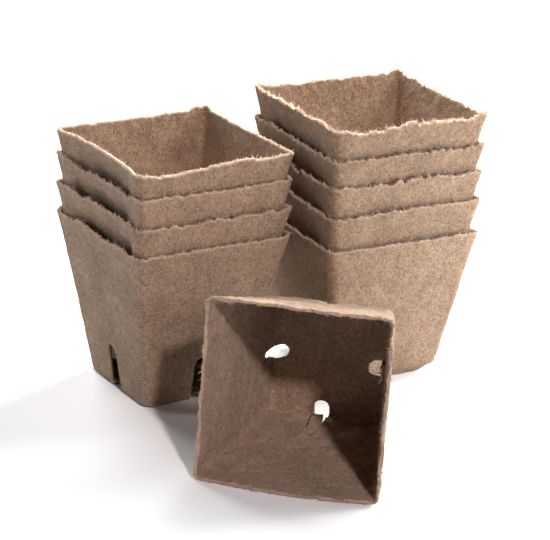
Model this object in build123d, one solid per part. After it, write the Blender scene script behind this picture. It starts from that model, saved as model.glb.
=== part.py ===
from build123d import *
from math import atan, cos, degrees, radians, sin, tan
import os

# One pot, pressed from fibre in one piece: a square bucket with leaning walls.
rim_width = 80.0
base_width = 54.0
pot_height = 78.0
corner_radius = 4.7
foot_radius = 1.5
wall_thickness = 1.7
floor_thickness = 2.2

# A drain slot stands in the middle of each of the four sides and runs on into the floor.
sides = 4
slot_width = 7.0
slot_height = 22.0
slot_floor_reach = 7.5

# The pot under the right stack has sunk onto a crushed foot, which turns in below a crease.
crush_drop = 4.4
crease_height = 6.5
crush_inset = 5.0

# Room all round between the inside of a pot and the pot that is nested in it.
close_nest_gap = 0.24
usual_nest_gap = 0.42
wide_nest_gap = 0.54
crushed_nest_gap = 0.94

# Places on the table, seen from the left stack, whose sides lie along X and Y.
stack_gap = 10.4
right_stack_forward = 21.9
right_stack_turn = -4.1
loose_pot_gap = 10.2
loose_pot_shift = 3.7
loose_pot_turn = -45.4

# Cutting bodies run past the faces that they open by this much.
overrun = 1.0

# What follows from the sizes above.
lean = atan((rim_width - base_width) / 2 / pot_height)
wall_across = wall_thickness / cos(lean)
left_nest_gaps = (usual_nest_gap, wide_nest_gap, close_nest_gap)
right_nest_gaps = (crushed_nest_gap, wide_nest_gap, usual_nest_gap, wide_nest_gap)


def width_at(height, depth):
    """Width across the flat sides, at a height on the wall and a depth in from the outer faces."""
    return base_width + 2 * height * tan(lean) - 2 * depth


def block(bottom, top, drop, depth):
    """Filled pot between two levels, with flat leaning sides and round corners."""
    width = width_at(bottom + drop, depth)
    spread = (width_at(top + drop, depth) - width) / 2
    far = width + spread
    wedge = Wedge(width, top - bottom, width, -spread, -spread, far, far, align=None)
    filled = Pos(-width / 2, width / 2, bottom) * Rot(90, 0, 0) * wedge
    corners = filled.edges() - filled.edges().filter_by(Plane.XY)
    return fillet(corners, corner_radius - depth)


def with_crushed_foot(filled, level, depth):
    """The same block, carried on below the crease by the foot that turns in, down to a level."""
    turned_in = crush_inset * (crease_height - level) / crease_height
    width = width_at(level + crush_drop, depth + turned_in)
    sole = Plane.XY.offset(level) * RectangleRounded(width, width, corner_radius - depth)
    return filled + loft([sole, filled.faces().sort_by(Axis.Z)[0]], ruled=True)


def wall_notch(drop, turned_in):
    """Cutter for the round-topped notch low in the +X wall."""
    round_centre = slot_height - drop - slot_width / 2
    straight = Rectangle(slot_width, round_centre + overrun, align=(Align.CENTER, Align.MAX))
    outline = Pos(0, round_centre) * (straight + Circle(slot_width / 2))
    start = base_width / 2 - wall_across - turned_in
    end = base_width / 2 + slot_height * tan(lean) + overrun
    facing_out = Plane(origin=(start, 0, 0), x_dir=(0, 1, 0), z_dir=(1, 0, 0))
    return extrude(facing_out * outline, end - start)


def floor_tongue():
    """Cutter for the tongue that carries the +X slot into the floor, with a round inner end."""
    wall_face = base_width / 2 - wall_across
    round_centre = wall_face - slot_floor_reach + slot_width / 2
    straight = Rectangle(wall_face - round_centre, slot_width, align=(Align.MIN, Align.CENTER))
    outline = Pos(round_centre, 0) * (straight + Circle(slot_width / 2))
    return extrude(Plane.XY.offset(-overrun) * outline, floor_thickness + 2 * overrun)


def hollowed(outside, hollow, drop, turned_in):
    """Pot with the edge of its foot rounded, its inside taken out and its slots punched."""
    foot_edge = outside.edges().group_by(Axis.Z)[0]
    body = fillet(foot_edge, foot_radius) - hollow
    slot = wall_notch(drop, turned_in) + floor_tongue()
    for side in range(sides):
        body -= Rot(0, 0, 360 / sides * side) * slot
    return body


def pot():
    """One pot standing upright with the middle of its base at the origin."""
    outside = block(0, pot_height, 0, 0)
    hollow = block(floor_thickness, pot_height + overrun, 0, wall_across)
    return hollowed(outside, hollow, 0, 0)


def crushed_pot():
    """The pot under the right stack, standing on its crushed foot."""
    rim_level = pot_height - crush_drop
    outside = block(crease_height, rim_level, crush_drop, 0)
    hollow = block(crease_height, rim_level + overrun, crush_drop, wall_across)
    outside = with_crushed_foot(outside, 0, 0)
    hollow = with_crushed_foot(hollow, floor_thickness, wall_across)
    return hollowed(outside, hollow, crush_drop, crush_inset)


def stack(name, place, bottom_pot, drop, nest_gaps):
    """A bottom pot and the pots nested in it, each raised until its walls clear the pot below."""
    pots = {f"{name}_1": place * bottom_pot}
    rise = -drop
    for number, gap in enumerate(nest_gaps, start=2):
        rise += (wall_across + gap) / tan(lean)
        pots[f"{name}_{number}"] = place * Pos(0, 0, rise) * pot()
    return pots


def loose_place():
    """Where the loose pot lies on one wall, with its mouth turned to the front."""
    half_base = base_width / 2
    x = rim_width / 2 + loose_pot_shift
    y = -rim_width / 2 - loose_pot_gap - half_base * sin(radians(-loose_pot_turn))
    lying_down = Rot(90 - degrees(lean), 0, 0)
    return Pos(x, y, half_base * cos(lean)) * Rot(0, 0, loose_pot_turn) * lying_down


def assembly():
    """Every pot by name, placed on the table with the left stack at the origin."""
    right_place = Pos(rim_width + stack_gap, -right_stack_forward, 0) * Rot(0, 0, right_stack_turn)
    pots = stack("left_pot", Pos(0, 0, 0), pot(), 0, left_nest_gaps)
    pots |= stack("right_pot", right_place, crushed_pot(), crush_drop, right_nest_gaps)
    pots["loose_pot"] = loose_place() * pot()
    return pots


def centred(pots):
    """The same pots, moved so that the origin is under the middle of them all."""
    bounds = Compound(list(pots.values())).bounding_box()
    middle = bounds.center()
    return {name: Pos(-middle.X, -middle.Y, 0) * solid for name, solid in pots.items()}


os.makedirs("parts", exist_ok=True)
for name, solid in centred(assembly()).items():
    solid.label = name
    export_step(solid, f"parts/{name}.step")
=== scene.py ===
from math import atan, cos, pi, radians, sin

import bpy
import numpy as np
from mathutils import Matrix, Vector


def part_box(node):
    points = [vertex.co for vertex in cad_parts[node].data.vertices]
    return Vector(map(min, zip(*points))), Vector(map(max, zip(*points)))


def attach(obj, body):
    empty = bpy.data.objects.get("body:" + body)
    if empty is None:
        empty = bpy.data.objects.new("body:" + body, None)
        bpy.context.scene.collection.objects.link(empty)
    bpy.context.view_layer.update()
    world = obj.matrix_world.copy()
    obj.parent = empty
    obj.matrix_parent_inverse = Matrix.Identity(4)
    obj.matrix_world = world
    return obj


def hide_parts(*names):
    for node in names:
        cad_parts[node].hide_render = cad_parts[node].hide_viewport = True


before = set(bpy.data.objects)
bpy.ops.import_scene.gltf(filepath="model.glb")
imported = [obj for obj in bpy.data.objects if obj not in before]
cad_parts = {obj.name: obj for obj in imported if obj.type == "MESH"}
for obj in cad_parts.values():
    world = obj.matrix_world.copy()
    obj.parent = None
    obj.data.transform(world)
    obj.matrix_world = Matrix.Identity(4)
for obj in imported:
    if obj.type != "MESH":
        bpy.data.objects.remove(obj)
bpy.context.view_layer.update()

MM = 0.001

# Sizes of a pot in millimetres, as its solid has them.
RIM_WIDTH = 80.0
BASE_WIDTH = 54.0
POT_HEIGHT = 78.0
CORNER_RADIUS = 4.7
FOOT_RADIUS = 1.5
WALL = 1.72
FLOOR = 2.2
SLOT_WIDTH = 7.0
SLOT_HEIGHT = 22.0
SLOT_REACH = 7.5
CRUSH_DROP = 4.4
CREASE_HEIGHT = 6.5
CRUSH_INSET = 5.0
SLOPE = (RIM_WIDTH - BASE_WIDTH) / 2 / POT_HEIGHT
LEAN = atan(SLOPE)

# Places of the right stack and of the loose pot, as the solids have them.
RIGHT_STACK_TURN = radians(-4.1)
LOOSE_POT_TURN = radians(-45.4)
LOOSE_POT_GAP = 10.2
LOOSE_POT_SHIFT = 3.7

# Sides of a pot in its own frame, as the camera sees them on a standing pot and on the loose one.
SIDES = 4
BACK_RIGHT, BACK_LEFT, LEFT, RIGHT = range(SIDES)
LYING_RIGHT, LYING_TOP, LYING_LEFT, LYING_BOTTOM = range(SIDES)
NO_SIDE = -1

# The skin's grid: columns along each side, some of which round the corners, and rows up the wall.
SIDE_COLUMNS = 96
ARC_COLUMNS = 6
FILLET_ROWS = 5
LOW_ROWS = 8
BODY_ROWS = 36
TOP_ROWS = 24
COLUMNS = SIDES * SIDE_COLUMNS
ROWS = FILLET_ROWS + LOW_ROWS + BODY_ROWS + TOP_ROWS
WALL_POINTS = (ROWS + 1) * COLUMNS
SKIN_POINTS = WALL_POINTS + (SIDE_COLUMNS - 1) ** 2
LOW_BAND_TOP = 8.0
TOP_BAND = 17.0

# Shape of the skins beside the solids' sizes. Millimetres, here and below.
INNER_FOOT_RADIUS = 2.0
FOOT_CORNER_SHARE = 0.6
RIM_CORNER_LESS = 1.4
LEAST_CORNER_RADIUS = 0.6
RIM_FADE = 1.6
RESTING_SWELL = 0.05

# A nested pot stays clear of the pot round it, from a little above that pot's rim, and is calmer there.
NEST_ROOM = 0.14
PUSHED_BELOW_RIM = -2.5
CALM_BELOW_RIM = 1.0
COVER_FADE = 3.0
COVERED_CALM = 0.8

# Unevenness, as pairs of its height and the size of its cells.
RIM_WAVES = ((0.8, 11.0), (0.5, 4.3))
RIM_FINE = ((0.5, 1.9), (0.55, 0.85))
RIM_SPLIT = (0.35, 1.3)
SLOT_EDGE = ((0.3, 2.6), (0.16, 1.1))
WALL_SWELL = (0.22, 17.0)
FLOOR_RELIEF = (0.12, 9.0)
FOLD_WANDER = (0.9, 16.0)
FOOT_CREASES = (0.5, 5.0)

# Unevenness whose height also depends on the look: relief, the band at the rim, a thin rim and nicks.
RELIEF_CELL = 4.4
OUTER_RELIEF = 0.2
INNER_RELIEF = 0.24
HIDDEN_RELIEF = 0.05
BAND_CELL = 8.0
BAND_DEPTH = 9.0
BAND_FADE = 7.0
THIN_RIM_CELL = 2.2
SWELL_START = 4.0
SWELL_FADE = 30.0
NICK_CELL = 2.4
NICK_DEPTH = 1.6
NICK_START = 0.38

# The crushed foot's bulge at its crease, the fold over it and the creases below.
BULGE_HEIGHT = 0.45
BULGE_LEVEL = CREASE_HEIGHT - 0.6
BULGE_REACH = 1.6
FOLD_DEPTH = 1.9
FOLD_LEVEL = CREASE_HEIGHT + 1.2
FOLD_REACH = 0.85
FOOT_CREASES_TOP = CREASE_HEIGHT + 1.5
FOOT_CREASES_FADE = 3.0

# The slots' edges: where the floor's part ends, how the width changes, and how points move onto them.
FLOOR_PART_INSET = WALL + 0.3
FLOOR_PART_TOP = FLOOR + 1
SLOT_TURN_START = -1.0
SLOT_TURN_LENGTH = 4.0
SLOT_NARROWING = 0.2
SLOT_FIELD_LEVEL = 3.7
EDGE_STEP = 0.05
EDGE_MOVE = 0.9
LEAST_STEEPNESS = 0.3

# The lip between the skins, whose middle rows split, with roughness as (always, by raggedness).
LIP_SHARES = (0.14, 0.38, 0.62, 0.86)
LIP_HEIGHT = 0.7
LIP_CELL = 0.9
LIP_ROUGHNESS = (0.15, 0.35)
LIP_LUMPS = (0.14, 0.25)
SPLIT_ROWS = (1, 2)
SPLIT_DEPTH = 0.9
SPLIT_CELL = 5.0
SPLIT_SHARE = 0.4

# Strands of fibre on the rim, with ranges of length and radius for thick and thin ones.
STRANDS_PER_SIDE = 190
STRAND_SHARES = (0, 0.5, 1)
STRAND_TAPER = 0.85
STRAND_ROOT_DEPTH = 0.25
STRAND_RISE = 0.8
STRAND_OUT = 0.9
STRAND_SCATTER = 0.6
STRAND_LEAST_RISE = 0.15
STRAND_TURNED_AWAY = 0.3
THICK_SHARE = 0.4
THICK_LENGTHS = (0.4, 1.2)
THICK_RADII = (0.2, 0.42)
THIN_LENGTHS = (0.5, 1.6)
THIN_RADII = (0.08, 0.15)

# Punched flaps that still hang in the slots, frayed by (height, cell) pairs.
FLAP_GRID = (13, 9)
FLAP_THICKNESS = 1.2
FLAP_NARROWING = 0.25
FLAP_BEND = 1.5
FLAP_CURL = 0.5
FLAP_SIDE_FRAY = (0.35, 1.6)
FLAP_END_FRAY = (0.8, 1.4)
FLAP_LUMPS = (0.4, 2.0)

# How pale the parts of a pot look, from 0 to 1: the paleness of torn fibre, which on the lip and rim is
# also painted highlight where the rim's top catches light.
TORN_AND_LIT_LIP = 1.0
TORN_AND_LIT_RIM = 0.6
TORN_SLOT = 0.25
TORN_FLAP = 0.2

# Each kind of unevenness has a random field of its own, this far from the pot's seed.
LAYER_SEED_STEP = 17
WAVES_FIELD = 0
FINE_FIELD = 2
NICKS_FIELD = 4
RIM_SPLIT_FIELD = 9
RELIEF_FIELD = 30
BAND_FIELD = 35
THIN_RIM_FIELD = 40
FOOT_CREASES_FIELD = 50
FOLD_FIELD = 55
FLOOR_FIELD = 60
SLOT_FIELD = 70
LIP_FIELD = 80
SPLIT_FIELD = 85
LUMPS_FIELD = 90
FLAP_SEED_STEP = 10
STACK_SEEDS = {"left": 100, "right": 200, "loose": 300}

# Numbers that scramble a place in a random field's grid.
SCRAMBLE_X = 73856093
SCRAMBLE_Y = 19349663
SCRAMBLE_Z = 83492791
SCRAMBLE_SEED = 2654435761
SCRAMBLE_AGAIN = 1274126177
LOW_32_BITS = 0xFFFFFFFF
LOW_16_BITS = 0xFFFF
SCRAMBLE_SHIFT = 13
HALF_WORD = 16

# The fibre's colour, and what a pot looks like unless its own look says otherwise.
FIBRE = (0.35, 0.245, 0.17)
USUAL_LOOK = {
    "rim": {},
    "bow": {},
    "bow_across": {},
    "slots": {},
    "flaps": (),
    "crushed": False,
    "resting_side": NO_SIDE,
    "relief": 1.1,
    "band_wavy": 0.2,
    "thin_rim": 0.35,
    # Share of the pale edge colour: torn fibre, and on the rims partly painted highlight.
    "pale_and_lit_rim": 0.45,
    "colour": FIBRE,
}

# For a side without its own: an even rim, a flat wall, and how far a bow reaches along the wall.
EVEN_RIM = ((-1, 0), (1, 0))
FLAT_WALL = ((0, 0), (POT_HEIGHT, 0))
BOW_ACROSS = ((-1, 0), (-0.55, 0.85), (0, 1), (0.55, 0.85), (1, 0))

# A slot's shift on the floor and on the wall, the shares of its width that stay open there, its slant.
SLOT_AS_PUNCHED = (0, 0, 1, 1, 0)

# How each pot differs. Waves, ragged and fuzz have one value for each side. Rim and bow are pairs of
# a place and millimetres, along a side and up a wall. A flap is its side, the levels of its top and
# its low end, its lift, its middle and its width.
OWN_LOOKS = {
    "left_pot_1": {
        "waves": (0.3, 0.3, 1.8, 0.5),
        "ragged": (0.5, 0.5, 1.2, 0.8),
        "fuzz": (0.6, 0.6, 1.2, 1.3),
        "slots": {LEFT: (0, 0, 1.15, 1.4, 0), RIGHT: (0, 0, 1.1, 1.15, 0)},
        "bow": {LEFT: ((0, 0), (50, 0.2), (70, 0.5), (78, 0)), RIGHT: ((0, 0), (60, 0.3), (78, 0.1))},
    },
    "left_pot_2": {
        "waves": (0.3, 0.3, 2.1, 0.7),
        "ragged": (0.5, 0.5, 1.4, 0.9),
        "fuzz": (0.6, 0.6, 1.4, 1.4),
        "bow": {
            LEFT: ((0, 0), (36, 1.2), (56, 2.9), (67, 3.4), (78, 0.6)),
            RIGHT: ((0, 0), (60, 0.8), (78, 0.1)),
        },
        "bow_across": {LEFT: ((-1, 0), (-0.6, 0.5), (-0.2, 0.75), (0.3, 1), (0.75, 0.9), (1, 0))},
    },
    "left_pot_3": {
        "waves": (0.3, 0.3, 2.1, 0.7),
        "ragged": (0.5, 0.5, 1.4, 0.9),
        "fuzz": (0.6, 0.6, 1.4, 1.4),
        "bow": {
            LEFT: ((0, 0), (36, 2.0), (52, 3.4), (66, 3.9), (78, 0.7)),
            RIGHT: ((0, 0), (60, 0.9), (78, 0.2)),
        },
    },
    "left_pot_4": {
        "waves": (0.2, 0.15, 0.18, 0.25),
        "ragged": (0.35, 0.3, 0.3, 0.6),
        "fuzz": (0.8, 0.5, 0.6, 1.8),
        "rim": {
            RIGHT: (
                (-1, 0), (-0.78, -1.8), (-0.6, -2.1), (-0.3, -1.1), (0, -0.3),
                (0.2, 0.8), (0.42, 0.9), (0.66, -0.7), (1, 0.3),
            ),
            BACK_LEFT: ((-1, 1.4), (-0.9, 1.5), (-0.78, 0), (1, 0)),
            BACK_RIGHT: ((-1, 0.3), (-0.9, 0), (0.9, 0), (1, 1.4)),
        },
        "bow": {
            LEFT: ((0, 0), (36, 2.6), (52, 3.9), (65, 4.3), (78, 3.1)),
            RIGHT: ((0, 0), (60, 0.9), (78, 0.5)),
        },
        "bow_across": {LEFT: ((-1, 0), (-0.6, 0.8), (-0.2, 1), (0.3, 0.95), (0.7, 0.6), (1, 0))},
        "band_wavy": 0.1,
        "thin_rim": 0.1,
        # Paler rim: torn fibre, and painted highlight where its top catches light.
        "pale_and_lit_rim": 0.95,
    },
    "right_pot_1": {
        "waves": (0.35, 0.35, 0.5, 0.3),
        "ragged": (0.5, 0.5, 0.7, 0.55),
        "fuzz": (0.6, 0.6, 0.9, 1.2),
        "bow": {LEFT: ((0, 0), (60, 0.5), (78, 0.2))},
        "crushed": True,
    },
    "right_pot_2": {
        "waves": (0.4, 0.4, 1.3, 0.8),
        "ragged": (0.7, 0.7, 1.5, 1.1),
        "fuzz": (0.8, 0.8, 1.6, 1.8),
        "bow": {LEFT: ((0, 0), (62, 2.2), (78, 0.3)), RIGHT: ((0, 0), (60, 0.6), (78, 0.1))},
    },
    "right_pot_3": {
        "waves": (0.4, 0.4, 1.4, 0.9),
        "ragged": (0.7, 0.7, 1.5, 1.2),
        "fuzz": (0.8, 0.8, 1.8, 2.0),
        "rim": {RIGHT: ((-1, 0), (-0.14, 0.2), (-0.07, -1.3), (0, 0.4), (1, 0))},
        "bow": {LEFT: ((0, 0), (62, 2.6), (78, 0.3)), RIGHT: ((0, 0), (60, 0.8), (78, 0.1))},
    },
    "right_pot_4": {
        "waves": (0.4, 0.4, 1.4, 0.9),
        "ragged": (0.7, 0.7, 1.5, 1.2),
        "fuzz": (0.8, 0.8, 1.8, 2.0),
        "bow": {LEFT: ((0, 0), (62, 2.9), (78, 0.4)), RIGHT: ((0, 0), (60, 0.9), (78, 0.1))},
    },
    "right_pot_5": {
        "waves": (0.3, 0.3, 0.7, 0.5),
        "ragged": (0.7, 0.6, 0.9, 1.1),
        "fuzz": (2.3, 2.0, 2.6, 3.8),
        "rim": {
            RIGHT: (
                (-1, 0), (-0.62, -2.0), (-0.4, -1.9), (-0.2, 0), (-0.05, 1.6),
                (0.15, -0.4), (0.5, 0.4), (0.8, -0.6), (0.92, 0.2), (1, 1.8),
            ),
            BACK_LEFT: ((-1, 1.8), (-0.88, 0.3), (0.88, 0.1), (1, 1.2)),
            BACK_RIGHT: ((-1, 1.8), (-0.88, 0.1), (0.88, 0.2), (1, 1.8)),
            LEFT: ((-1, 1.2), (-0.85, 0), (0.9, 0), (1, 0)),
        },
        "bow": {LEFT: ((0, 0), (62, 3.1), (78, 1.4)), RIGHT: ((0, 0), (60, 0.9), (78, 0.2))},
        "thin_rim": -0.3,
        # Paler rim: torn fibre, and painted highlight where its top catches light.
        "pale_and_lit_rim": 0.85,
    },
    "loose_pot": {
        "waves": (0.2, 0.25, 0.2, 0.25),
        "ragged": (0.7, 0.6, 0.4, 0.6),
        "fuzz": (1.6, 1.4, 1.2, 1.0),
        "rim": {LYING_BOTTOM: ((-1, 0), (-0.3, 2.2), (0.1, 2.8), (0.7, 1.4), (1, 0))},
        "slots": {
            LYING_TOP: (2.5, 0, 0.35, 1, 0),
            LYING_LEFT: (-0.6, -1.2, 0.85, 0.62, 0.3),
            LYING_BOTTOM: (-1.8, -2.6, 1, 0.9, 0),
        },
        "flaps": (
            (LYING_RIGHT, 20, 4, 1.8, 0, 6.2),
            (LYING_TOP, 20, 3, 0.5, 0, 6.4),
            (LYING_LEFT, 20, 12, 0.2, -1.2, 4.4),
            (LYING_BOTTOM, 20, 5.5, 2.6, -2.4, 6.2),
        ),
        "resting_side": LYING_BOTTOM,
        "relief": 2.3,
        "pale_and_lit_rim": 0.4,
        # Lighter than the other pots: partly its own tone, partly painted light that brightens its top
        # outer wall.
        "colour": (0.385, 0.27, 0.19),
    },
}
LOOKS = {name: USUAL_LOOK | own for name, own in OWN_LOOKS.items()}


def smooth(x):
    """Soft step from 0 to 1."""
    x = np.clip(x, 0, 1)
    return x * x * (3 - 2 * x)


def noise(points, cell, seed):
    """Smooth random values from -1 to 1, which change over about one cell."""
    scaled = np.asarray(points, dtype=float) / cell
    base = np.floor(scaled).astype(np.int64)
    part = scaled - base
    part = part * part * (3 - 2 * part)
    total = np.zeros(scaled.shape[:-1])
    for corner in range(8):
        offset = np.array([corner & 1, corner >> 1 & 1, corner >> 2])
        key = base + offset
        mixed = key[..., 0] * SCRAMBLE_X ^ key[..., 1] * SCRAMBLE_Y ^ key[..., 2] * SCRAMBLE_Z
        mixed = (mixed ^ seed * SCRAMBLE_SEED) & LOW_32_BITS
        mixed = (mixed ^ mixed >> SCRAMBLE_SHIFT) * SCRAMBLE_AGAIN & LOW_32_BITS
        value = ((mixed ^ mixed >> HALF_WORD) & LOW_16_BITS) / (LOW_16_BITS / 2) - 1
        total += value * np.where(offset, part, 1 - part).prod(axis=-1)
    return total


def layered_noise(points, cell, seed, layers):
    """Noise with finer and weaker layers added."""
    total = 0
    for layer in range(layers):
        total = total + noise(points, cell / 2**layer, seed + LAYER_SEED_STEP * layer) / 2**layer
    return total


def uneven(points, height_and_cell, seed, layers=1):
    """Layered noise of a height and a cell."""
    height, cell = height_and_cell
    return height * layered_noise(points, cell, seed, layers)


def half_width(height):
    """Half the outer width of the wall at a height."""
    return BASE_WIDTH / 2 + SLOPE * height


def ring_columns():
    """The ring of columns: corner angle, place along the straight from -1 to 1, and side of each."""
    start = np.linspace(-pi / 4, 0, ARC_COLUMNS + 1)[:-1]
    straight = np.linspace(-1, 1, SIDE_COLUMNS - 2 * ARC_COLUMNS + 1)
    end = np.linspace(0, pi / 4, ARC_COLUMNS + 1)[1:-1]
    angle = np.concatenate([start, np.zeros(len(straight)), end])
    along = np.concatenate([-np.ones(len(start)), straight, np.ones(len(end))])
    return np.tile(angle, SIDES), np.tile(along, SIDES), np.repeat(np.arange(SIDES), SIDE_COLUMNS)


RING_ANGLE, RING_ALONG, RING_SIDE = ring_columns()
SIDE_COS = np.round(np.cos(RING_SIDE * pi / 2))
SIDE_SIN = np.round(np.sin(RING_SIDE * pi / 2))


def turned(out, sideways, c, s):
    """Places across a pot from the directions of a side, whose cosine and sine are given."""
    return np.stack([out * c - sideways * s, out * s + sideways * c], axis=-1)


RING_NORMAL = turned(np.cos(RING_ANGLE), np.sin(RING_ANGLE), SIDE_COS, SIDE_SIN)


def side_direction(side):
    """Cosine and sine of a side's direction."""
    return round(cos(side * pi / 2)), round(sin(side * pi / 2))


def ring(half, radius):
    """Rounded square with a half width and a corner radius for each point of the ring."""
    out = half - radius + radius * np.cos(RING_ANGLE)
    sideways = (half - radius) * RING_ALONG + radius * np.sin(RING_ANGLE)
    return turned(out, sideways, SIDE_COS, SIDE_SIN)


RIM_RING = np.column_stack([ring(RIM_WIDTH / 2, CORNER_RADIUS), np.zeros(COLUMNS)])


def skin_rows(inner):
    """Height and inset of each row, from the floor's edge up to just under the lip."""
    radius = INNER_FOOT_RADIUS if inner else FOOT_RADIUS
    start = FLOOR if inner else 0.0
    quarter = np.linspace(0, pi / 2, FILLET_ROWS + 1)
    fillet = start + radius * (1 - np.cos(quarter))
    low = np.linspace(start + radius, LOW_BAND_TOP, LOW_ROWS + 1)[1:]
    body = np.linspace(LOW_BAND_TOP, POT_HEIGHT - TOP_BAND, BODY_ROWS + 1)[1:]
    top = np.linspace(POT_HEIGHT - TOP_BAND, POT_HEIGHT - LIP_HEIGHT, TOP_ROWS + 1)[1:]
    heights = np.concatenate([fillet, low, body, top])
    insets = np.zeros(len(heights))
    insets[: FILLET_ROWS + 1] = radius * (1 - np.sin(quarter))
    return heights, insets


def border_column(p, q):
    """The ring's column at a border point of the floor's grid."""
    n = SIDE_COLUMNS
    if p == n and q < n:
        return q
    if q == n and p > 0:
        return 2 * n - p
    if p == 0 and q > 0:
        return 3 * n - q
    return 3 * n + p


def ring_quads(low, high):
    """Quads between two rings of points, from the numbers that the rings start at."""
    column = np.arange(COLUMNS)
    following = (column + 1) % COLUMNS
    return np.stack([low + column, low + following, high + following, high + column], axis=1)


def grid_quads(grid):
    """Quads between the point numbers of a grid."""
    corners = [grid[:-1, :-1], grid[:-1, 1:], grid[1:, 1:], grid[1:, :-1]]
    return np.stack(corners, axis=-1).reshape(-1, 4)


def skin_faces():
    """Quads of one skin, seen from outside: walls and then the floor's grid."""
    n = SIDE_COLUMNS
    grid = np.zeros((n + 1, n + 1), dtype=np.int64)
    for p in range(n + 1):
        for q in range(n + 1):
            inside = 0 < p < n and 0 < q < n
            grid[p, q] = WALL_POINTS + (p - 1) * (n - 1) + q - 1 if inside else border_column(p, q)
    walls = [ring_quads(row * COLUMNS, (row + 1) * COLUMNS) for row in range(ROWS)]
    return np.concatenate([*walls, grid_quads(grid)])


SKIN_FACES = skin_faces()


def floor_inside(border):
    """Inside points of the floor's grid, stretched between the ring that borders it."""
    n = SIDE_COLUMNS
    share = np.arange(n + 1) / n
    right = border[np.arange(0, n + 1)]
    top = border[np.arange(2 * n, n - 1, -1)]
    left = border[np.arange(3 * n, 2 * n - 1, -1)]
    bottom = border[np.arange(3 * n, 4 * n + 1) % COLUMNS]
    u, v = share[:, None, None], share[None, :, None]
    sides = (1 - v) * bottom[:, None] + v * top[:, None] + (1 - u) * left[None] + u * right[None]
    corners = (1 - u) * ((1 - v) * bottom[0] + v * top[0]) + u * ((1 - v) * bottom[-1] + v * top[-1])
    return (sides - corners)[1:n, 1:n].reshape(-1, 3)


def curve(places, table):
    """Smooth line through a table of (place, value) pairs."""
    knots = np.array(table, dtype=float)
    index = np.clip(np.searchsorted(knots[:, 0], places) - 1, 0, len(knots) - 2)
    start, end = knots[index], knots[index + 1]
    share = smooth((places - start[..., 0]) / (end[..., 0] - start[..., 0]))
    return start[..., 1] + share * (end[..., 1] - start[..., 1])


def side_values(tables, places, usual):
    """Values along the ring or up the wall from one table for each side, or from the usual one."""
    values = np.zeros(np.broadcast(places, RING_SIDE).shape)
    for side in range(SIDES):
        values = np.where(RING_SIDE == side, curve(places, tables.get(side, usual)), values)
    return values


def rim_lift(look, seed):
    """How far the rim stands above or below its even height at each column."""
    lift = side_values(look["rim"], RING_ALONG, EVEN_RIM)
    wavy = np.array(look["waves"])[RING_SIDE]
    ragged = np.array(look["ragged"])[RING_SIDE]
    waves = sum(uneven(RIM_RING, pair, seed + WAVES_FIELD + n) for n, pair in enumerate(RIM_WAVES))
    fine = sum(uneven(RIM_RING, pair, seed + FINE_FIELD + n) for n, pair in enumerate(RIM_FINE))
    nicks = NICK_DEPTH * np.maximum(noise(RIM_RING, NICK_CELL, seed + NICKS_FIELD) - NICK_START, 0)
    return lift + wavy * waves + ragged * (fine - nicks)


def pot_inside_which(name):
    """The pot that a nested pot sits in, if any."""
    stack_name, number = name.rsplit("_", 1)
    outer = f"{stack_name}_{int(number) - 1}" if number.isdigit() else ""
    return outer if outer in LOOKS else None


def drop_of(look):
    """How far a crushed foot lowers a pot."""
    return CRUSH_DROP if look["crushed"] else 0.0


def base_level(name):
    """Level of a standing pot's base, as it would be without a crushed foot, in millimetres."""
    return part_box(name)[0][2] / MM - drop_of(LOOKS[name])


def covered_share(name, heights, below_rim):
    """How far an outer wall is inside the pot round it: 0 in the open, 1 well below that pot's rim."""
    outer = pot_inside_which(name)
    if not outer:
        return np.zeros_like(heights)
    rise = base_level(name) - base_level(outer)
    return smooth((POT_HEIGHT - below_rim - heights - rise) / COVER_FADE)


def holds_a_pot(name):
    """Whether another pot is nested in this one."""
    return any(pot_inside_which(other) == name for other in LOOKS)


def pushed_in(name, heights):
    """How far each wall is pushed in; a nested pot stays clear of the one round it."""
    look = LOOKS[name]
    own = side_values(look["bow"], heights, FLAT_WALL)
    own = own * side_values(look["bow_across"], RING_ALONG, BOW_ACROSS)
    outer = pot_inside_which(name)
    if outer:
        rise = base_level(name) - base_level(outer)
        pushed = pushed_in(outer, heights + rise) - (rise * SLOPE - WALL) + NEST_ROOM
        own = np.maximum(own, pushed * covered_share(name, heights, PUSHED_BELOW_RIM))
    return own


def crushed(height, start):
    """Level and turning-in of the crushed foot for a height on the wall; start is the skin's lowest."""
    crease = CREASE_HEIGHT + CRUSH_DROP
    below = height < crease
    squeezed = start + (height - start) * (CREASE_HEIGHT - start) / (crease - start)
    level = np.where(below, squeezed, height - CRUSH_DROP)
    turned_in = np.where(below, CRUSH_INSET * (1 - level / CREASE_HEIGHT), 0)
    return level, turned_in


def hump(distance, reach):
    """Round hump of height 1 at distance 0."""
    return np.exp(-((distance / reach) ** 2))


def crushed_swell(points, seed, inner):
    """Bulge at the crushed foot's crease, with a fold outside it, and the creases below."""
    level = points[..., 2]
    bulge = hump(level - BULGE_LEVEL, BULGE_REACH)
    if not inner:
        fold_level = FOLD_LEVEL + uneven(points, FOLD_WANDER, seed + FOLD_FIELD)
        bulge = bulge - FOLD_DEPTH * hump(level - fold_level, FOLD_REACH)
    below = smooth((FOOT_CREASES_TOP - level) / FOOT_CREASES_FADE)
    return BULGE_HEIGHT * bulge + below * uneven(points, FOOT_CREASES, seed + FOOT_CREASES_FIELD, 2)


def relief_height(name, look, inner, heights):
    """Height of the fibre's relief: less where a wall is close to the pot that it is nested with."""
    if inner:
        return HIDDEN_RELIEF if holds_a_pot(name) else look["relief"] * INNER_RELIEF
    return look["relief"] * OUTER_RELIEF * (1 - COVERED_CALM * covered_share(name, heights, CALM_BELOW_RIM))


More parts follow.
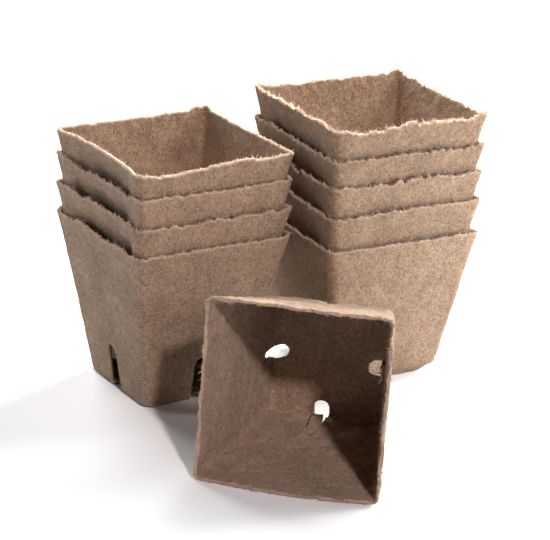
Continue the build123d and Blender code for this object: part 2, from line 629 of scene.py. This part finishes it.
def swell(name, look, seed, inner, points, heights, near_rim):
    """How far a skin stands out from the flat wall at each of its points."""
    stacked = points + np.array([0, 0, 0 if name == "loose_pot" else base_level(name)])
    upper = smooth((heights - SWELL_START) / SWELL_FADE)
    total = upper * uneven(stacked, WALL_SWELL, STACK_SEEDS[name.split("_")[0]], 2)
    total = total - pushed_in(name, heights)
    relief = layered_noise(points, RELIEF_CELL, seed + RELIEF_FIELD + inner, 3)
    total = total + relief_height(name, look, inner, heights) * relief
    band = smooth((heights - POT_HEIGHT + BAND_DEPTH) / BAND_FADE)
    total = total + look["band_wavy"] * band * noise(points, BAND_CELL, seed + BAND_FIELD)
    if inner:
        thinning = 1 + noise(points, THIN_RIM_CELL, seed + THIN_RIM_FIELD)
        total = total + look["thin_rim"] * near_rim * thinning
    if look["crushed"]:
        total = total + crushed_swell(points, seed, inner)
    if not inner:
        resting = RING_SIDE == look["resting_side"]
        total = np.where(resting, np.minimum(total, RESTING_SWELL), total)
    return total


def skin(name, look, seed, inner):
    """Points of one skin of a pot, in millimetres."""
    rows, insets = skin_rows(inner)
    heights = rows[:, None] + np.zeros(COLUMNS)
    near_rim = np.clip((heights - POT_HEIGHT + TOP_BAND) / TOP_BAND, 0, 1) ** RIM_FADE
    lift = rim_lift(look, seed)
    if inner:
        lift = lift + uneven(RIM_RING, RIM_SPLIT, seed + RIM_SPLIT_FIELD)
    heights = heights + near_rim * lift
    level, turned_in = crushed(heights, FLOOR if inner else 0.0) if look["crushed"] else (heights, 0.0)
    depth = WALL if inner else 0.0
    half = half_width(level + drop_of(look)) - depth - insets[:, None] - turned_in
    radius = CORNER_RADIUS - depth - FOOT_CORNER_SHARE * insets[:, None] - RIM_CORNER_LESS * near_rim
    flat = ring(half, np.maximum(radius, LEAST_CORNER_RADIUS))
    points = np.concatenate([flat, level[..., None]], axis=-1)
    standing_out = swell(name, look, seed, inner, points, heights, near_rim)
    points[..., :2] += standing_out[..., None] * RING_NORMAL
    floor = floor_inside(points[0])
    floor[:, 2] += uneven(floor, FLOOR_RELIEF, seed + FLOOR_FIELD, 2)
    return np.concatenate([points.reshape(-1, 3), floor])


def is_floor(out, level):
    """Whether points lie on the floor, inside the wall's foot."""
    return (half_width(level) - out > FLOOR_PART_INSET) & (level < FLOOR_PART_TOP)


def slot_distance(side, out, sideways, level, seed, look):
    """Distance to the ragged edge of a side's slot, below zero inside it."""
    run = np.where(is_floor(out, level), out - half_width(level), level)
    floor_shift, wall_shift, floor_share, wall_share, slant = look["slots"].get(side, SLOT_AS_PUNCHED)
    at_wall = smooth((run - SLOT_TURN_START) / SLOT_TURN_LENGTH)
    shift = floor_shift + (wall_shift - floor_shift) * at_wall + slant * np.minimum(run, 0)
    narrowing = 1 - SLOT_NARROWING * np.clip(run / SLOT_HEIGHT, 0, 1)
    half = SLOT_WIDTH / 2 * (floor_share + (wall_share - floor_share) * at_wall) * narrowing
    low_end = -(WALL + SLOT_REACH) + SLOT_WIDTH / 2
    high_end = SLOT_HEIGHT - drop_of(look) - SLOT_WIDTH / 2
    nearest = np.clip(run, low_end, high_end)
    distance = np.hypot(sideways - shift, run - nearest) - half
    flat = np.stack([sideways, run, np.full_like(run, SLOT_FIELD_LEVEL)], axis=-1)
    return distance + sum(uneven(flat, pair, seed + SLOT_FIELD + n) for n, pair in enumerate(SLOT_EDGE))


def corners_of(quads):
    """Which points of a skin are corners of some of its quads."""
    marked = np.zeros(SKIN_POINTS, dtype=bool)
    marked[SKIN_FACES[quads]] = True
    return marked


def onto_slot_edge(out, sideways, level, side, seed, look):
    """Points of a side, moved along the wall or the floor onto the edge of its slot."""
    here = slot_distance(side, out, sideways, level, seed, look)
    across = slot_distance(side, out, sideways + EDGE_STEP, level, seed, look) - here
    on_floor = is_floor(out, level)
    up_step = np.where(on_floor, 0, EDGE_STEP)
    farther = out + np.where(on_floor, EDGE_STEP, 0) + SLOPE * up_step
    up = slot_distance(side, farther, sideways, level + up_step, seed, look) - here
    steepness = np.maximum(np.hypot(across, up) / EDGE_STEP, LEAST_STEEPNESS)
    across, up = across / EDGE_STEP / steepness, up / EDGE_STEP / steepness
    move = -np.clip(here, -EDGE_MOVE, EDGE_MOVE) / steepness
    low = (level < FOOT_RADIUS + FLOOR) & ~on_floor
    upwards = np.where(low, 0, move * up)
    out = out + np.where(on_floor, upwards, SLOPE * upwards)
    sideways = sideways + move * np.where(low, np.sign(across), across)
    return out, sideways, level + np.where(on_floor, 0, upwards)


def slots(points, look, seed):
    """Which quads the slots take out; the points round them move onto the slots' edges."""
    skins = points.reshape(2, SKIN_POINTS, 3)
    middle = skins.mean(axis=0)
    removed = np.zeros(len(SKIN_FACES), dtype=bool)
    for side in range(SIDES):
        c, s = side_direction(side)
        axes = np.array([[c, s], [-s, c]])
        out, sideways = (middle[:, :2] @ axes.T).T
        distance = slot_distance(side, out, sideways, middle[:, 2], seed + side, look)
        distance[out < BASE_WIDTH / 4] = 1.0
        gone = distance[SKIN_FACES].mean(axis=1) < 0
        edge = corners_of(gone) & corners_of(~gone)
        removed |= gone
        for one_skin in skins:
            out, sideways = (one_skin[edge, :2] @ axes.T).T
            moved = onto_slot_edge(out, sideways, one_skin[edge, 2], side, seed + side, look)
            one_skin[edge, :2] = np.column_stack(moved[:2]) @ axes
            one_skin[edge, 2] = moved[2]
    return removed


def boundary(faces):
    """Directed edges that only one quad has, apart from the rim's."""
    edges = np.concatenate([faces[:, [k, (k + 1) % 4]] for k in range(4)])
    code = np.minimum(edges[:, 0], edges[:, 1]) * SKIN_POINTS + np.maximum(edges[:, 0], edges[:, 1])
    _, inverse, counts = np.unique(code, return_inverse=True, return_counts=True)
    single = edges[counts[inverse] == 1]
    rim = ROWS * COLUMNS
    on_rim = ((single >= rim) & (single < WALL_POINTS)).all(axis=1)
    return single[~on_rim]


def lip(points, look, seed):
    """Rows of points that round the rim off between the skins and split it into torn layers."""
    rim = np.arange(ROWS * COLUMNS, WALL_POINTS)
    outer, inner = points[rim], points[SKIN_POINTS + rim]
    ragged = np.array(look["ragged"])[RING_SIDE]
    roughness = LIP_ROUGHNESS[0] + LIP_ROUGHNESS[1] * ragged
    lumpiness = LIP_LUMPS[0] + LIP_LUMPS[1] * ragged
    split = SPLIT_DEPTH * ragged * smooth(noise(outer, SPLIT_CELL, seed + SPLIT_FIELD) + SPLIT_SHARE)
    rows = []
    for number, share in enumerate(LIP_SHARES):
        row = outer + share * (inner - outer)
        bulge = LIP_HEIGHT * (1 - (2 * share - 1) ** 2) ** 0.5
        rise = bulge - split if number in SPLIT_ROWS else bulge
        row[:, 2] += rise + roughness * noise(row, LIP_CELL, seed + LIP_FIELD + number)
        lumps = lumpiness * noise(row, LIP_CELL, seed + LUMPS_FIELD + number)
        row[:, :2] += lumps[:, None] * RING_NORMAL
        rows.append(row)
    return np.concatenate(rows)


def lip_faces():
    """Quads from the outer rim over the lip's rows to the inner rim."""
    starts = [ROWS * COLUMNS]
    starts += [2 * SKIN_POINTS + number * COLUMNS for number in range(len(LIP_SHARES))]
    starts.append(SKIN_POINTS + ROWS * COLUMNS)
    return np.concatenate([ring_quads(low, high) for low, high in zip(starts, starts[1:])])


def strand_mesh(root, direction, bend, length, radius):
    """Points and faces of one tapered, curved strand with four sides and closed ends."""
    direction = direction / np.linalg.norm(direction)
    side = np.cross(direction, bend)
    side /= np.linalg.norm(side)
    other = np.cross(direction, side)
    corners = np.array([side, other, -side, -other])
    rings = []
    for share in STRAND_SHARES:
        middle = root + direction * length * share + bend * length * share**2
        rings.append(middle + radius * (1 - STRAND_TAPER * share) * corners)
    last = 4 * (len(STRAND_SHARES) - 1)
    faces = [(3, 2, 1, 0), (last, last + 1, last + 2, last + 3)]
    for low in range(0, last, 4):
        faces += [(low + k, low + (k + 1) % 4, low + 4 + (k + 1) % 4, low + 4 + k) for k in range(4)]
    return np.concatenate(rings), np.array(faces)


def fuzz(points, look, seed):
    """Strands and small tufts of fibre that stand out of the rim."""
    rng = np.random.default_rng(seed)
    all_points, all_faces = [], []
    for side, amount in enumerate(look["fuzz"]):
        places = np.arange(SIDE_COLUMNS) + side * SIDE_COLUMNS
        for column in rng.choice(places, size=int(STRANDS_PER_SIDE * amount)):
            row = rng.integers(len(LIP_SHARES))
            root = points[2 * SKIN_POINTS + row * COLUMNS + column] - np.array([0, 0, STRAND_ROOT_DEPTH])
            outward = np.append(RING_NORMAL[column], 0)
            direction = np.array([0, 0, STRAND_RISE]) + rng.uniform(-STRAND_OUT, STRAND_OUT) * outward
            direction = direction + rng.normal(0, STRAND_SCATTER, 3)
            direction[2] = abs(direction[2]) + STRAND_LEAST_RISE
            if side == look["resting_side"]:
                direction -= (max(direction @ outward, 0) + STRAND_TURNED_AWAY) * outward
            bend = rng.normal(0, STRAND_SCATTER, 3)
            thick = rng.random() < THICK_SHARE
            length = rng.uniform(*(THICK_LENGTHS if thick else THIN_LENGTHS))
            radius = rng.uniform(*(THICK_RADII if thick else THIN_RADII))
            strand_points, strand_faces = strand_mesh(root, direction, bend, length, radius)
            all_faces.append(strand_faces + len(all_points) * len(strand_points))
            all_points.append(strand_points)
    return np.concatenate(all_points), np.concatenate(all_faces)


def flap(side, top, low, lift, middle, width, seed):
    """Points and faces of a punched flap that hangs from a slot's top end, bent inwards by a lift."""
    steps, steps_across = FLAP_GRID
    along, across = np.meshgrid(np.linspace(0, 1, steps), np.linspace(-1, 1, steps_across), indexing="ij")
    level = top + (low - top) * along
    sideways = middle + width / 2 * across * (1 - FLAP_NARROWING * along**2)
    inward = WALL / 2 + lift * along**FLAP_BEND + FLAP_CURL * across**2 * along
    flat = np.stack([sideways, level, inward], axis=-1)
    frayed = uneven(flat, FLAP_SIDE_FRAY, seed) * (np.abs(across) == 1)
    frayed_end = uneven(flat, FLAP_END_FRAY, seed + 1) * (along == 1)
    sheets = []
    for face in (-1, 1):
        thick = FLAP_THICKNESS / 2 * (1 + uneven(flat, FLAP_LUMPS, seed + 2 + face))
        out = half_width(level) - inward - face * thick
        place = turned(out, sideways + frayed, *side_direction(side))
        sheets.append(np.concatenate([place, (level + frayed_end)[..., None]], axis=-1).reshape(-1, 3))
    number = np.arange(along.size).reshape(along.shape)
    border = np.concatenate([number[0, :-1], number[:-1, -1], number[-1, :0:-1], number[:0:-1, 0]])
    after = np.roll(border, -1)
    edge = np.stack([after, border, border + along.size, after + along.size], axis=1)
    quads = grid_quads(number)
    return np.concatenate(sheets), np.concatenate([quads, quads[:, ::-1] + along.size, edge])


def pot_mesh(name, look, seed):
    """Mesh of one pot in metres, with how pale each point is, from torn fibre and, on the lip and rim,
    painted highlight.
    """
    points = np.concatenate([skin(name, look, seed, False), skin(name, look, seed, True)])
    removed = slots(points, look, seed)
    kept = SKIN_FACES[~removed]
    holes = boundary(kept)
    start, end = holes.T
    bridge = np.stack([end, start, start + SKIN_POINTS, end + SKIN_POINTS], axis=1)
    points = np.concatenate([points, lip(points, look, seed)])
    base_count = len(points)
    strands, strand_faces = fuzz(points, look, seed)
    rim_strands = len(strands)
    for number, shape in enumerate(look["flaps"]):
        flap_points, flap_faces = flap(*shape, seed + FLAP_SEED_STEP * number)
        strand_faces = np.concatenate([strand_faces, flap_faces + len(strands)])
        strands = np.concatenate([strands, flap_points])
    # How pale each point is: torn fibre, and on the lip and rim also painted highlight.
    torn_and_lit = np.zeros(base_count + len(strands))
    torn_and_lit[2 * SKIN_POINTS :] = TORN_AND_LIT_LIP
    torn_and_lit[base_count + rim_strands :] = TORN_FLAP
    rim = np.arange(ROWS * COLUMNS, WALL_POINTS)
    for first in (0, SKIN_POINTS):
        torn_and_lit[first + rim] = TORN_AND_LIT_RIM
        torn_and_lit[first + holes.ravel()] = TORN_SLOT
    inner_skin = kept[:, ::-1] + SKIN_POINTS
    faces = np.concatenate([kept, inner_skin, lip_faces(), bridge, strand_faces + base_count])
    points = np.concatenate([points, strands])
    used = np.zeros(len(points), dtype=bool)
    used[faces] = True
    number = np.cumsum(used) - 1
    return make_mesh(name, points[used] * MM, number[faces], torn_and_lit[used])


def make_mesh(name, points, faces, torn_and_lit):
    """Blender mesh of quads from arrays, smooth shaded, with the paleness of torn fibre and painted rim
    highlight as an attribute on its points.
    """
    mesh = bpy.data.meshes.new(name)
    mesh.vertices.add(len(points))
    mesh.vertices.foreach_set("co", points.astype(np.float32).ravel())
    mesh.loops.add(faces.size)
    mesh.loops.foreach_set("vertex_index", faces.astype(np.int32).ravel())
    mesh.polygons.add(len(faces))
    mesh.polygons.foreach_set("loop_start", np.arange(0, faces.size, 4, dtype=np.int32))
    mesh.polygons.foreach_set("loop_total", np.full(len(faces), 4, dtype=np.int32))
    mesh.update(calc_edges=True)
    mesh.validate()
    mesh.shade_smooth()
    attribute = mesh.attributes.new("torn_and_lit", "FLOAT", "POINT")
    attribute.data.foreach_set("value", torn_and_lit.astype(np.float32))
    return mesh


# The fibre's material: noises by scale, detail and roughness, and ramps over them by (value, colour).
ROUGHNESS = 0.95
SPECULAR = 0.12
SHEEN = 0.12
SHEEN_ROUGHNESS = 0.6
BUMP_STRENGTH = 0.7
BUMP_DISTANCE = 0.0006
TEXTURE_SHIFT = (0.013, 0.007, 0.011)
BLACK = (0.0, 0.0, 0.0)
WHITE = (1.0, 1.0, 1.0)
STRAND_COLOUR = (1.15, 1.15, 1.13)
PIT_COLOUR = (0.78, 0.76, 0.75)
NOISES = {
    "cloud": (70, 3, 0.55),
    "mottle": (420, 3, 0.7),
    "grain": (1300, 2, 0.7),
    "speck": (900, 1, 0.5),
    "strand": (260, 2, 0.6),
    "pit": (330, 2, 0.6),
}
CLOUD_STOPS = ((0.3, (0.84, 0.83, 0.83)), (0.7, (1.13, 1.13, 1.14)))
MOTTLE_STOPS = ((0.28, (0.82, 0.81, 0.8)), (0.5, WHITE), (0.74, (1.14, 1.15, 1.16)))
GRAIN_STOPS = ((0.3, (0.78, 0.76, 0.75)), (0.5, WHITE), (0.72, (1.13, 1.13, 1.12)))
DARK_SPECK_STOPS = ((0.66, BLACK), (0.74, WHITE))
PALE_SPECK_STOPS = ((0.24, WHITE), (0.31, BLACK))

# Thin pale strands and dark creases lie where a noise passes its middle.
STRAND_STOPS = ((0.46, WHITE), (0.485, STRAND_COLOUR), (0.515, STRAND_COLOUR), (0.54, WHITE))
PIT_STOPS = ((0.455, WHITE), (0.485, PIT_COLOUR), (0.515, PIT_COLOUR), (0.545, WHITE))

# Other colours that follow from the fibre's own: a factor, and what is added.
DARK_SPECK = (0.42, 0.0)
PALE_SPECK = (1.55, 0.02)
# The pale edge: torn fibre's colour, and on the rims a painted highlight as well.
PALE_AND_LIT_EDGE = (1.7, 0.17)

# A mix node's sockets for its factor and its two colours, and the gap between nodes.
MIX_INPUTS = (0, 6, 7)
MIX_OUTPUT = 2
NODE_SPACING = 200


def add_node(tree, kind, **settings):
    """Node with its plain properties set, to the right of the nodes before it."""
    node = tree.nodes.new(kind)
    node.location.x = NODE_SPACING * len(tree.nodes)
    for key, value in settings.items():
        setattr(node, key, value)
    return node


def feed(tree, socket, value):
    """Links a socket into an input, or sets the input to a colour or a number."""
    if isinstance(value, bpy.types.NodeSocket):
        tree.links.new(value, socket)
    elif isinstance(value, tuple):
        socket.default_value = (*value, 1)
    else:
        socket.default_value = value


def noise_node(tree, vector, settings):
    """Noise texture of about one over scale metres."""
    node = add_node(tree, "ShaderNodeTexNoise")
    for name, value in zip(("Scale", "Detail", "Roughness"), settings):
        feed(tree, node.inputs[name], value)
    feed(tree, node.inputs["Vector"], vector)
    return node.outputs["Fac"]


def ramp_node(tree, value, stops):
    """Ramp of colours over a value."""
    node = add_node(tree, "ShaderNodeValToRGB")
    elements = node.color_ramp.elements
    elements[0].position, elements[1].position = stops[0][0], stops[-1][0]
    for position, _ in stops[1:-1]:
        elements.new(position)
    for element, (position, colour) in zip(elements, stops):
        element.position = position
        element.color = (*colour, 1)
    feed(tree, node.inputs["Fac"], value)
    return node.outputs["Color"]


def mix_node(tree, kind, factor, first, second):
    """Mix of two colours; factor, first and second are sockets or constants."""
    node = add_node(tree, "ShaderNodeMix", data_type="RGBA", blend_type=kind)
    for number, value in zip(MIX_INPUTS, (factor, first, second)):
        feed(tree, node.inputs[number], value)
    return node.outputs[MIX_OUTPUT]


def math_node(tree, operation, first, second):
    """Sum or product of two values; each is a socket or a constant."""
    node = add_node(tree, "ShaderNodeMath", operation=operation)
    feed(tree, node.inputs[0], first)
    feed(tree, node.inputs[1], second)
    return node.outputs["Value"]


def following_colour(colour, factor_and_more):
    """Colour that is brighter or darker than another one."""
    factor, more = factor_and_more
    return tuple(min(1.0, factor * channel + more) for channel in colour)


def fibre_colour(tree, noises, pitted, colour, pale_and_lit_rim):
    """Mottled colour with dark and pale specks, paler where the fibre is torn and, on the rims, with a
    painted highlight.
    """
    cloudy = ramp_node(tree, noises["cloud"], CLOUD_STOPS)
    mottled = ramp_node(tree, noises["mottle"], MOTTLE_STOPS)
    stranded = ramp_node(tree, noises["strand"], STRAND_STOPS)
    grained = ramp_node(tree, noises["grain"], GRAIN_STOPS)
    mixed = colour
    for factor in (cloudy, mottled, stranded, pitted, grained):
        mixed = mix_node(tree, "MULTIPLY", 1.0, mixed, factor)
    dark_specks = ramp_node(tree, noises["speck"], DARK_SPECK_STOPS)
    pale_specks = ramp_node(tree, noises["speck"], PALE_SPECK_STOPS)
    mixed = mix_node(tree, "MIX", dark_specks, mixed, following_colour(colour, DARK_SPECK))
    mixed = mix_node(tree, "MIX", pale_specks, mixed, following_colour(colour, PALE_SPECK))
    # The attribute: torn fibre, and painted highlight on the rims.
    torn_and_lit = add_node(tree, "ShaderNodeAttribute", attribute_name="torn_and_lit")
    soft = math_node(tree, "MULTIPLY", torn_and_lit.outputs["Fac"], pale_and_lit_rim)
    return mix_node(tree, "MIX", soft, mixed, following_colour(colour, PALE_AND_LIT_EDGE))


def fibre_material(name, shift, colour, pale_and_lit_rim):
    """Pressed fibre: mottled brown-grey with dark specks, pale strands and a rough, felted surface."""
    material = bpy.data.materials.new(name)
    material.use_nodes = True
    tree = material.node_tree
    tree.nodes.clear()
    output = add_node(tree, "ShaderNodeOutputMaterial")
    shader = add_node(tree, "ShaderNodeBsdfPrincipled")
    feed(tree, output.inputs["Surface"], shader.outputs["BSDF"])
    feed(tree, shader.inputs["Roughness"], ROUGHNESS)
    feed(tree, shader.inputs["Specular IOR Level"], SPECULAR)
    feed(tree, shader.inputs["Sheen Weight"], SHEEN)
    feed(tree, shader.inputs["Sheen Roughness"], SHEEN_ROUGHNESS)
    place = add_node(tree, "ShaderNodeTexCoord")
    mapping = add_node(tree, "ShaderNodeMapping")
    mapping.inputs["Location"].default_value = shift
    feed(tree, mapping.inputs["Vector"], place.outputs["Object"])
    vector = mapping.outputs["Vector"]
    noises = {kind: noise_node(tree, vector, settings) for kind, settings in NOISES.items()}
    pitted = ramp_node(tree, noises["pit"], PIT_STOPS)
    feed(tree, shader.inputs["Base Color"], fibre_colour(tree, noises, pitted, colour, pale_and_lit_rim))
    height = math_node(tree, "ADD", noises["mottle"], noises["grain"])
    height = math_node(tree, "ADD", height, pitted)
    bump = add_node(tree, "ShaderNodeBump")
    feed(tree, bump.inputs["Strength"], BUMP_STRENGTH)
    feed(tree, bump.inputs["Distance"], BUMP_DISTANCE)
    feed(tree, bump.inputs["Height"], height)
    feed(tree, shader.inputs["Normal"], bump.outputs["Normal"])
    return material


def centre(node):
    """Middle of a node's box across the table, and its lowest level."""
    low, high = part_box(node)
    return (low[0] + high[0]) / 2, (low[1] + high[1]) / 2, low[2]


def pot_place(name):
    """Matrix that puts a pot, upright round the origin, where its node is."""
    if name == "loose_pot":
        x, y, _ = centre("left_pot_1")
        x += (RIM_WIDTH / 2 + LOOSE_POT_SHIFT) * MM
        y -= (RIM_WIDTH / 2 + LOOSE_POT_GAP + BASE_WIDTH / 2 * sin(-LOOSE_POT_TURN)) * MM
        lying = Matrix.Rotation(LOOSE_POT_TURN, 4, "Z") @ Matrix.Rotation(pi / 2 - LEAN, 4, "X")
        return Matrix.Translation((x, y, BASE_WIDTH / 2 * cos(LEAN) * MM)) @ lying
    place = Matrix.Translation(centre(name))
    return place @ Matrix.Rotation(RIGHT_STACK_TURN, 4, "Z") if name.startswith("right") else place


def add_object(name, data):
    """Object that shows a mesh, a lamp or a camera."""
    made = bpy.data.objects.new(name, data)
    bpy.context.scene.collection.objects.link(made)
    return made


def make_pot(name, seed):
    """One pot in place of its node, on the node's body."""
    look = LOOKS[name]
    mesh = pot_mesh(name, look, seed)
    shift = [step * seed for step in TEXTURE_SHIFT]
    mesh.materials.append(fibre_material(f"{name}_fibre", shift, look["colour"], look["pale_and_lit_rim"]))
    pot = add_object(f"{name}_shell", mesh)
    pot.matrix_world = pot_place(name)
    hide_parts(name)
    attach(pot, name)


# Camera, in millimetres and radians, as fitted to the photograph: it stands at the origin of its own frame.
CAMERA_HEIGHT = 409.8
CAMERA_PITCH = 0.3592
CAMERA_ROLL = -0.0419
FOCAL_PIXELS = 2194.7
PICTURE_WIDTH = 550
SENSOR_WIDTH = 36.0
CLIP_START = 0.01
CLIP_END = 50
LEFT_STACK_FROM_CAMERA = (-47.747, 942.433)
LEFT_STACK_YAW = 0.56935


def from_camera_frame(x, y, z=0.0):
    """Direction in the scene's frame of a direction in the camera's level frame."""
    c, s = cos(LEFT_STACK_YAW), sin(LEFT_STACK_YAW)
    return Vector((x * c + y * s, y * c - x * s, z))


def make_camera():
    """Camera at the photograph's place and angle."""
    forward = Vector((0, cos(CAMERA_PITCH), -sin(CAMERA_PITCH)))
    right = Vector((1, 0, 0))
    down = forward.cross(right)
    rolled_right = cos(CAMERA_ROLL) * right + sin(CAMERA_ROLL) * down
    rolled_down = cos(CAMERA_ROLL) * down - sin(CAMERA_ROLL) * right
    axes = [from_camera_frame(*axis) for axis in (rolled_right, -rolled_down, -forward)]
    x, y, _ = centre("left_pot_1")
    stack_x, stack_y = LEFT_STACK_FROM_CAMERA
    offset = from_camera_frame(-stack_x, -stack_y, CAMERA_HEIGHT) * MM
    data = bpy.data.cameras.new("camera")
    data.sensor_width = SENSOR_WIDTH
    data.lens = FOCAL_PIXELS * SENSOR_WIDTH / PICTURE_WIDTH
    data.clip_start = CLIP_START
    data.clip_end = CLIP_END
    camera = add_object("camera", data)
    rotation = Matrix(axes).transposed().to_4x4()
    camera.matrix_world = Matrix.Translation(Vector((x, y, 0)) + offset) @ rotation
    bpy.context.scene.camera = camera


# Suns: azimuth to the right of the camera, elevation and spread in degrees, colour and strength.
SUNS = {
    "key": (20.9, 38.4, 4.0, (1.0, 0.88, 0.88), 1.68),
    "side": (120, 30, 20, (1.0, 0.96, 0.9), 1.85),
    "left back": (-150, 35, 30, (1.0, 1.0, 0.98), 1.95),
    "left": (-104, 8, 30, (0.85, 0.94, 1.0), 1.0),
}

# Round lamps near the right stack: azimuth, elevation, distance and size in metres, colour and power.
NEAR_LAMPS = {
    "right": (70, 12, 0.25, 0.12, (0.97, 1.0, 0.97), 0.38),
    "over right": (120, 55, 0.3, 0.15, (1.0, 1.0, 0.95), 0.79),
    "over back": (180, 60, 0.3, 0.15, (1.0, 0.98, 0.93), 1.45),
}
NEAR_LAMPS_NODE = "right_pot_1"
NEAR_LAMPS_LEVEL = 0.05

# The world's weak light, and the table: seen by the camera as white with some more, else less white.
WORLD_STRENGTH = 0.01
TABLE_EXTRA = (0.16, 0.2, 0.23)
TABLE_BOUNCE = (0.85, 0.85, 0.85)
TABLE_HALF = 4.0
TABLE_LEVEL = -0.0002


def towards_lamp(azimuth, elevation):
    """Direction to a lamp from its azimuth and its elevation."""
    a, e = radians(azimuth), radians(elevation)
    return from_camera_frame(sin(a) * cos(e), -cos(a) * cos(e), sin(e))


def make_lamp(name, kind, towards, colour, energy):
    """Lamp that shines from a direction."""
    data = bpy.data.lights.new(name, kind)
    data.color = colour
    data.energy = energy
    light = add_object(name, data)
    light.rotation_euler = towards.to_track_quat("Z", "Y").to_euler()
    return light


def make_sun(name, azimuth, elevation, spread, colour, strength):
    """Sun with soft shadows."""
    light = make_lamp(name, "SUN", towards_lamp(azimuth, elevation), colour, strength)
    light.data.angle = radians(spread)


def make_near_lamp(name, azimuth, elevation, distance, size, colour, power):
    """Round lamp near the right stack, which the camera doesn't see."""
    towards = towards_lamp(azimuth, elevation)
    light = make_lamp(name, "AREA", towards, colour, power)
    light.data.shape = "DISK"
    light.data.size = size
    x, y, _ = centre(NEAR_LAMPS_NODE)
    light.location = Vector((x, y, NEAR_LAMPS_LEVEL)) + distance * towards
    light.visible_camera = False


def mix_for_camera(tree, seen, otherwise, output):
    """Ends a tree with one shader for the camera's rays and another for all other rays."""
    path = add_node(tree, "ShaderNodeLightPath")
    mix = add_node(tree, "ShaderNodeMixShader")
    feed(tree, mix.inputs["Fac"], path.outputs["Is Camera Ray"])
    feed(tree, mix.inputs[1], otherwise)
    feed(tree, mix.inputs[2], seen)
    feed(tree, output.inputs["Surface"], mix.outputs["Shader"])


def background_node(tree, strength):
    """White background of a strength."""
    node = add_node(tree, "ShaderNodeBackground")
    feed(tree, node.inputs["Color"], WHITE)
    feed(tree, node.inputs["Strength"], strength)
    return node.outputs["Background"]


def diffuse_node(tree, colour):
    """Matt surface."""
    node = add_node(tree, "ShaderNodeBsdfDiffuse")
    feed(tree, node.inputs["Color"], colour)
    return node.outputs["BSDF"]


def make_world():
    """Weak even light from all round, with a white background for the camera alone."""
    world = bpy.data.worlds.new("studio")
    world.use_nodes = True
    tree = world.node_tree
    tree.nodes.clear()
    output = add_node(tree, "ShaderNodeOutputWorld")
    ambient = background_node(tree, WORLD_STRENGTH)
    mix_for_camera(tree, background_node(tree, 1.0), ambient, output)
    bpy.context.scene.world = world


def table_material():
    """Matt white that looks fully lit to the camera and throws back less light on the object."""
    material = bpy.data.materials.new("table_white")
    material.use_nodes = True
    tree = material.node_tree
    tree.nodes.clear()
    output = add_node(tree, "ShaderNodeOutputMaterial")
    both = add_node(tree, "ShaderNodeAddShader")
    feed(tree, both.inputs[0], diffuse_node(tree, WHITE))
    feed(tree, both.inputs[1], diffuse_node(tree, TABLE_EXTRA))
    bounce = diffuse_node(tree, TABLE_BOUNCE)
    mix_for_camera(tree, both.outputs["Shader"], bounce, output)
    return material


def make_table():
    """Large pale table top."""
    mesh = bpy.data.meshes.new("table")
    corners = [(x * TABLE_HALF, y * TABLE_HALF, 0) for x, y in ((-1, -1), (1, -1), (1, 1), (-1, 1))]
    mesh.from_pydata(corners, [], [(0, 1, 2, 3)])
    mesh.materials.append(table_material())
    table = add_object("table", mesh)
    table.location = (0, 0, TABLE_LEVEL)


for seed, name in enumerate(LOOKS, start=1):
    make_pot(name, seed)
make_camera()
make_table()
make_world()
for name, settings in SUNS.items():
    make_sun(name, *settings)
for name, settings in NEAR_LAMPS.items():
    make_near_lamp(name, *settings)

bpy.context.scene.view_settings.view_transform = "Standard"
